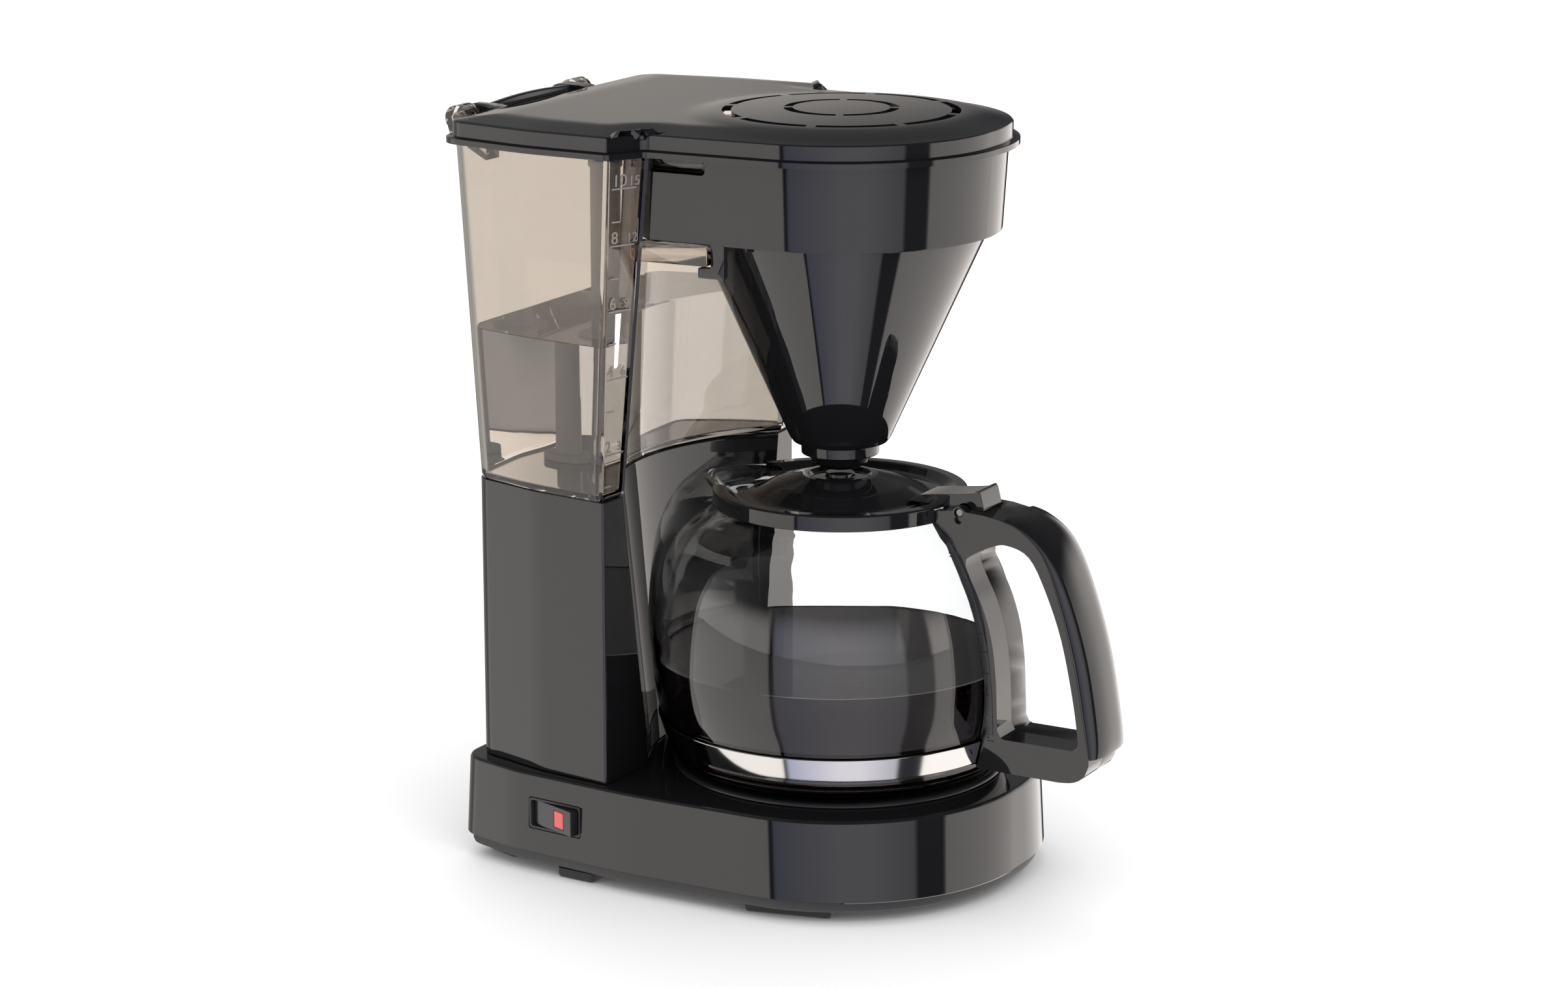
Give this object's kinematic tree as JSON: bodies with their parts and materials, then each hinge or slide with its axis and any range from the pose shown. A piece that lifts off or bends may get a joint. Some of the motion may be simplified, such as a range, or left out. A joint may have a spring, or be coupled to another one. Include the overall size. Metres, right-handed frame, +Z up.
{
  "type": "drip coffee maker",
  "caption": "Drip coffee maker: base with warming plate, rear tower with clear water tank, vented hinged lid, cone filter basket with drip stop, and lidded glass carafe.",
  "frame": {"origin": "centre of the footprint, on the surface the feet stand on", "axes": "+Z up, +X to the machine's right seen from the front, -Y towards the front where the carafe handle points"},
  "size_m": [0.1676, 0.2647, 0.2962],
  "materials": {
    "black_gloss": "polished black ABS",
    "black_matt": "fine spark-eroded black plastic",
    "smoke_clear": "smoke-tinted clear plastic, polished",
    "riser_plastic": "milky heat-proof plastic",
    "carafe_glass": "clear borosilicate glass",
    "bright_steel": "bright polished stainless steel",
    "plated_steel": "zinc-plated steel",
    "plate_coating": "satin non-stick coating",
    "cast_aluminium": "as cast",
    "rubber": "matt",
    "silicone": "translucent off-white silicone",
    "grey_plastic": "dull moulded",
    "red_lens": "clear red lens",
    "wire_brown": "PVC sleeve",
    "wire_blue": "PVC sleeve",
    "water": "still water in the tank, contents only",
    "coffee": "brewed coffee in the carafe, contents only"
  },
  "bodies": {
    "base": {"base_shell": "black_gloss", "bottom_plate": "black_matt", "base_screw_1": "plated_steel", "base_screw_2": "plated_steel", "base_screw_3": "plated_steel", "base_screw_4": "plated_steel", "foot_1": "rubber", "foot_2": "rubber", "foot_3": "rubber", "foot_4": "rubber", "foot_5": "rubber", "foot_6": "rubber", "warming_plate": "plate_coating", "heater_element": "cast_aluminium", "heater_bracket": "plated_steel", "heater_screw": "plated_steel", "thermostat": "grey_plastic", "thermal_fuse": "plated_steel", "thermal_fuse_clip": "plated_steel", "inlet_hose": "silicone", "riser_hose": "silicone", "check_valve": "grey_plastic", "riser_tube": "riser_plastic", "riser_seal": "silicone", "water_outlet": "black_matt", "switch_bezel": "black_matt", "switch_body": "grey_plastic", "cord_gland": "rubber", "wire_live": "wire_brown", "wire_switched": "wire_brown", "wire_neutral": "wire_blue", "tower_shell": "black_gloss", "water_tank": "smoke_clear", "hinge_pin_left": "bright_steel", "hinge_pin_right": "bright_steel"},
    "lid": {"lid": "black_gloss"},
    "basket": {"filter_basket": "black_gloss", "drip_valve_body": "black_gloss", "drip_valve_cap": "black_matt", "valve_spring": "plated_steel"},
    "valve": {"valve_plunger": "black_matt"},
    "rocker": {"switch_rocker": "black_gloss", "switch_lamp": "red_lens"},
    "carafe": {"carafe_glass": "carafe_glass", "carafe_band": "bright_steel", "carafe_handle": "black_gloss", "carafe_handle_screw": "bright_steel", "grip_cover": "black_gloss", "carafe_lid_pin": "bright_steel"},
    "carafe_lid": {"carafe_lid": "black_gloss"}
  },
  "joints": [
    {"name": "lid_hinge", "type": "hinge", "parent": "base", "child": "lid", "pos_m": [0, 0.12735, 0.2875], "axis": [-1, 0, 0], "range_deg": [0, 100]},
    {"name": "basket_slide", "type": "slide", "parent": "base", "child": "basket", "axis": [0, -1, 0], "range_m": [0, 0.026]},
    {"name": "valve_slide", "type": "slide", "parent": "basket", "child": "valve", "axis": [0, 0, 1], "range_m": [0, 0.0025], "stiffness_N_per_m": 60, "springref_m": -0.01, "deforming": ["valve_spring"]},
    {"name": "switch_rock", "type": "hinge", "parent": "base", "child": "rocker", "pos_m": [-0.07381, 0.06793, 0.025], "axis": [0, 0, 1], "range_deg": [0, 14]},
    {"name": "carafe_slide", "type": "slide", "parent": "base", "child": "carafe", "axis": [0, -1, 0], "range_m": [0, 0.28]},
    {"name": "carafe_lid_hinge", "type": "hinge", "parent": "carafe", "child": "carafe_lid", "pos_m": [0, -0.07215, 0.1486], "axis": [1, 0, 0], "range_deg": [0, 21.2]}
  ],
  "couplings": [
    {"joint": "carafe_lid_hinge", "follows": "carafe_slide", "rad_per_m": 1.309}
  ]
}
